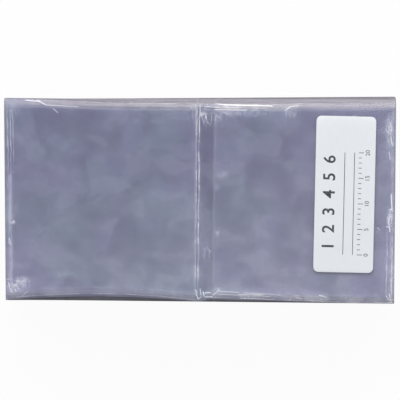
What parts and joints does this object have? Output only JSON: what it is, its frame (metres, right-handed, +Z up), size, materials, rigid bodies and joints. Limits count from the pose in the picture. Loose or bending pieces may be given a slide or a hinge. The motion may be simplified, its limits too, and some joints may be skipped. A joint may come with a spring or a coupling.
{
  "type": "coin flip pack",
  "caption": "Pack of clear vinyl double-pocket coin flips lying open in a squared stack, with a paper label; the top flip lifts off and folds shut.",
  "frame": {"origin": "on the table, under the middle of the top flip, within half a millimetre of the middle of the pack", "axes": "+X along the open flips towards the pocket with the label, +Y across them towards the back, +Z up"},
  "size_m": [0.0772, 0.0408, 0.0284],
  "materials": {
    "film": "gloss",
    "paper": "matte"
  },
  "bodies": {
    "pack": {"flip_02": "film", "flip_03": "film", "flip_04": "film", "flip_05": "film", "flip_06": "film", "flip_07": "film", "flip_08": "film", "flip_09": "film", "flip_10": "film", "flip_bundle_1": "film", "flip_bundle_2": "film", "flip_bundle_3": "film", "flip_bundle_4": "film", "flip_bundle_5": "film", "flip_bundle_6": "film", "flip_bundle_7": "film", "flip_bundle_8": "film", "flip_bundle_9": "film"},
    "top_flip_right_half": {"right_back_panel": "film", "right_flap": "film", "right_end_fold": "film", "right_rear_seal": "film", "right_front_seal": "film", "label": "paper", "fold_web": "film"},
    "top_flip_left_half": {"left_back_panel": "film", "left_flap": "film", "left_end_fold": "film", "left_rear_seal": "film", "left_front_seal": "film"}
  },
  "joints": [
    {"name": "top_flip_lift", "type": "slide", "parent": "pack", "child": "top_flip_right_half", "axis": [0, 0, 1], "range_m": [0, 0.05]},
    {"name": "top_flip_fold", "type": "hinge", "parent": "top_flip_right_half", "child": "top_flip_left_half", "pos_m": [0, 0, 0.02838], "axis": [0, 1, 0], "range_deg": [0, 180], "deforming": ["fold_web"]}
  ]
}
